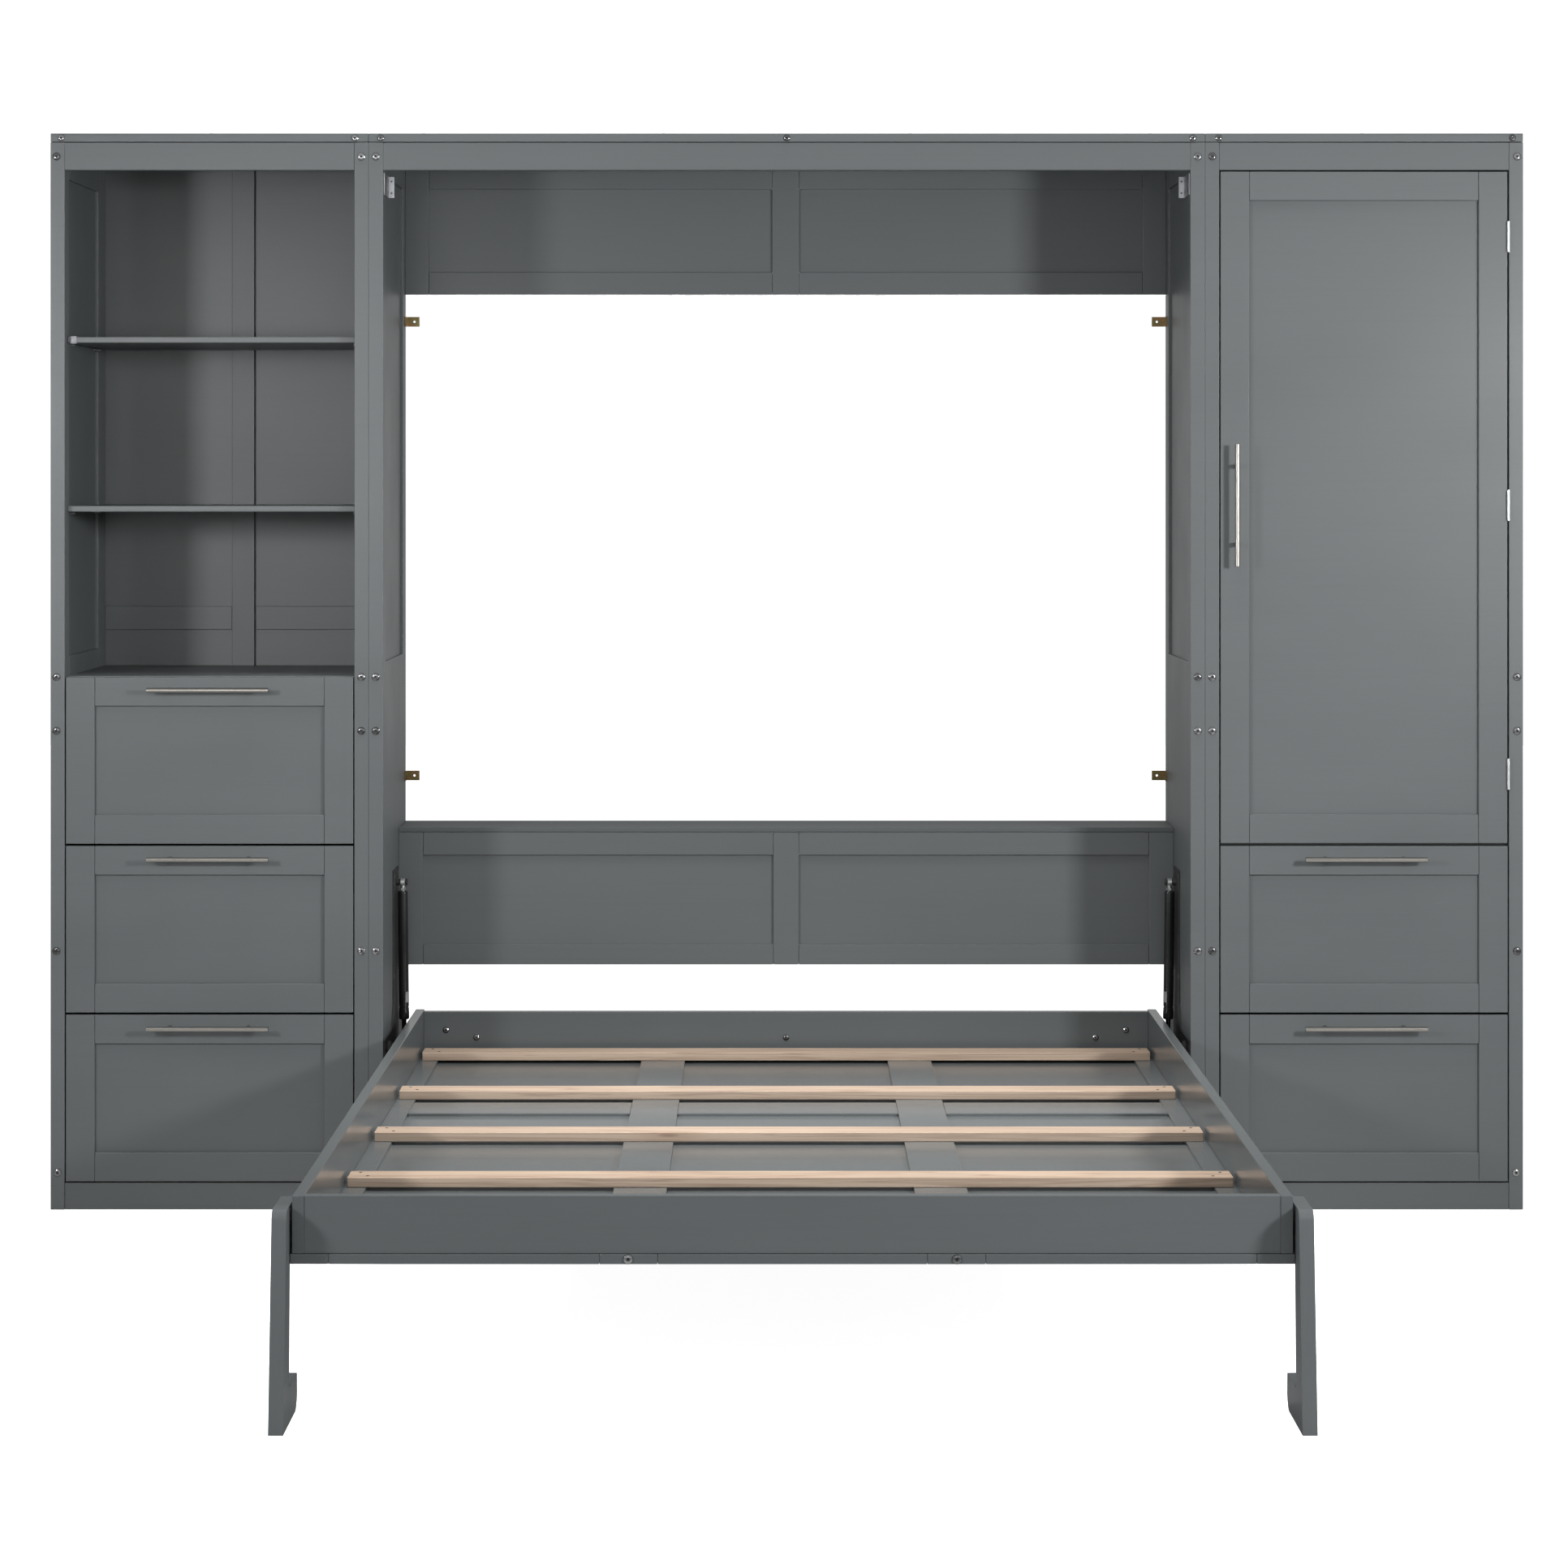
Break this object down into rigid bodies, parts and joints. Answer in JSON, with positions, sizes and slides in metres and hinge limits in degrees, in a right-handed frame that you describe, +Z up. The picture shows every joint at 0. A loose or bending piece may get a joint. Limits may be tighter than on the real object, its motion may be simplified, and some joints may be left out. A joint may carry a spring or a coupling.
{
  "type": "murphy wall bed",
  "caption": "Fold-down wall bed with hook-shaped legs and gas struts, between a shelf cabinet and a wardrobe cabinet with drawers.",
  "frame": {"origin": "on the floor, under the middle of the whole object with the bed folded down", "axes": "+X to the right seen from the front, +Y towards the wall, +Z up"},
  "size_m": [3.01, 2.29, 2.2025],
  "materials": {
    "grey_paint": "satin painted wood, faint brushed grain",
    "pine_slats": "bare sawn pine",
    "drawer_wood": "bare plywood",
    "brushed_nickel": "brushed along the bar",
    "bright_zinc": "bright zinc plate",
    "zinc_steel": "dull zinc plate",
    "yellow_zinc": "yellow zinc plate",
    "black_steel": "black powder coat",
    "strut_black": "gloss black enamel",
    "strut_chrome": "polished rod"
  },
  "bodies": {
    "cabinets": {"left_outer_side": "grey_paint", "left_inner_side": "grey_paint", "left_top_board": "grey_paint", "left_back_panels": "grey_paint", "left_shelves": "grey_paint", "left_counter_board": "grey_paint", "shelf_pins": "zinc_steel", "bay_left_side": "grey_paint", "bay_right_side": "grey_paint", "bay_top_board": "grey_paint", "bay_upper_back": "grey_paint", "headboard_panel": "grey_paint", "headboard_shelf": "grey_paint", "wall_brackets": "yellow_zinc", "catch_brackets": "bright_zinc", "mechanism_plates": "black_steel", "right_inner_side": "grey_paint", "right_outer_side": "grey_paint", "right_top_board": "grey_paint", "right_back_panels": "grey_paint", "right_floor_board": "grey_paint", "hanging_rail": "zinc_steel", "top_rails": "grey_paint", "plinth_boards": "grey_paint", "drawer_runners": "zinc_steel", "door_hinge_frames": "bright_zinc", "cabinet_bolts": "bright_zinc"},
    "bed": {"bed_side_rails": "grey_paint", "bed_head_rail": "grey_paint", "footboard": "grey_paint", "bed_deck_head": "grey_paint", "bed_deck_foot": "grey_paint", "bed_slats": "pine_slats", "bed_hinge_plates": "black_steel", "bed_bolts": "bright_zinc", "leg_pivot_bolts": "bright_zinc"},
    "left_leg": {"left_leg": "grey_paint"},
    "right_leg": {"right_leg": "grey_paint"},
    "left_strut_tube": {"left_strut_tube": "strut_black"},
    "left_strut_rod": {"left_strut_rod": "strut_chrome"},
    "right_strut_tube": {"right_strut_tube": "strut_black"},
    "right_strut_rod": {"right_strut_rod": "strut_chrome"},
    "door": {"door_panel": "grey_paint", "door_handle": "brushed_nickel", "door_hinge_leaves": "bright_zinc"},
    "left_top_drawer": {"left_top_drawer_front": "grey_paint", "left_top_drawer_box": "drawer_wood", "left_top_drawer_handle": "brushed_nickel"},
    "left_middle_drawer": {"left_middle_drawer_front": "grey_paint", "left_middle_drawer_box": "drawer_wood", "left_middle_drawer_handle": "brushed_nickel"},
    "left_bottom_drawer": {"left_bottom_drawer_front": "grey_paint", "left_bottom_drawer_box": "drawer_wood", "left_bottom_drawer_handle": "brushed_nickel"},
    "right_top_drawer": {"right_top_drawer_front": "grey_paint", "right_top_drawer_box": "drawer_wood", "right_top_drawer_handle": "brushed_nickel"},
    "right_bottom_drawer": {"right_bottom_drawer_front": "grey_paint", "right_bottom_drawer_box": "drawer_wood", "right_bottom_drawer_handle": "brushed_nickel"}
  },
  "joints": [
    {"name": "bed_fold", "type": "hinge", "parent": "cabinets", "child": "bed", "pos_m": [0, 0.735, 0.318], "axis": [-1, 0, 0], "range_deg": [0, 90]},
    {"name": "left_leg_fold", "type": "hinge", "parent": "bed", "child": "left_leg", "pos_m": [-0.8085, -1.024, 0.3], "axis": [1, 0, 0], "range_deg": [0, 90]},
    {"name": "left_strut_swing", "type": "hinge", "parent": "cabinets", "child": "left_strut_tube", "pos_m": [-0.8085, 0.907, 0.644], "axis": [-1, 0, 0], "range_deg": [0, 25.58]},
    {"name": "left_strut_stroke", "type": "slide", "parent": "left_strut_tube", "child": "left_strut_rod", "axis": [0, 0.1041, -0.9946], "range_m": [0, 0.22112]},
    {"name": "right_leg_fold", "type": "hinge", "parent": "bed", "child": "right_leg", "pos_m": [0.8085, -1.024, 0.3], "axis": [1, 0, 0], "range_deg": [0, 90]},
    {"name": "right_strut_swing", "type": "hinge", "parent": "cabinets", "child": "right_strut_tube", "pos_m": [0.8085, 0.907, 0.644], "axis": [-1, 0, 0], "range_deg": [0, 25.58]},
    {"name": "right_strut_stroke", "type": "slide", "parent": "right_strut_tube", "child": "right_strut_rod", "axis": [0, 0.1041, -0.9946], "range_m": [0, 0.22112]},
    {"name": "door_swing", "type": "hinge", "parent": "cabinets", "child": "door", "pos_m": [1.4745, 0.6616, 1.44], "axis": [0, 0, 1], "range_deg": [0, 110]},
    {"name": "left_top_drawer_slide", "type": "slide", "parent": "cabinets", "child": "left_top_drawer", "axis": [0, -1, 0], "range_m": [0, 0.35]},
    {"name": "left_middle_drawer_slide", "type": "slide", "parent": "cabinets", "child": "left_middle_drawer", "axis": [0, -1, 0], "range_m": [0, 0.35]},
    {"name": "left_bottom_drawer_slide", "type": "slide", "parent": "cabinets", "child": "left_bottom_drawer", "axis": [0, -1, 0], "range_m": [0, 0.35]},
    {"name": "right_top_drawer_slide", "type": "slide", "parent": "cabinets", "child": "right_top_drawer", "axis": [0, -1, 0], "range_m": [0, 0.35]},
    {"name": "right_bottom_drawer_slide", "type": "slide", "parent": "cabinets", "child": "right_bottom_drawer", "axis": [0, -1, 0], "range_m": [0, 0.35]}
  ],
  "couplings": [
    {"joint": "left_leg_fold", "follows": "bed_fold", "ratio": 1},
    {"joint": "left_strut_swing", "follows": "bed_fold", "ratio": 0.284},
    {"joint": "left_strut_stroke", "follows": "bed_fold", "m_per_rad": 0.14064},
    {"joint": "right_leg_fold", "follows": "bed_fold", "ratio": 1},
    {"joint": "right_strut_swing", "follows": "bed_fold", "ratio": 0.284},
    {"joint": "right_strut_stroke", "follows": "bed_fold", "m_per_rad": 0.14064}
  ]
}
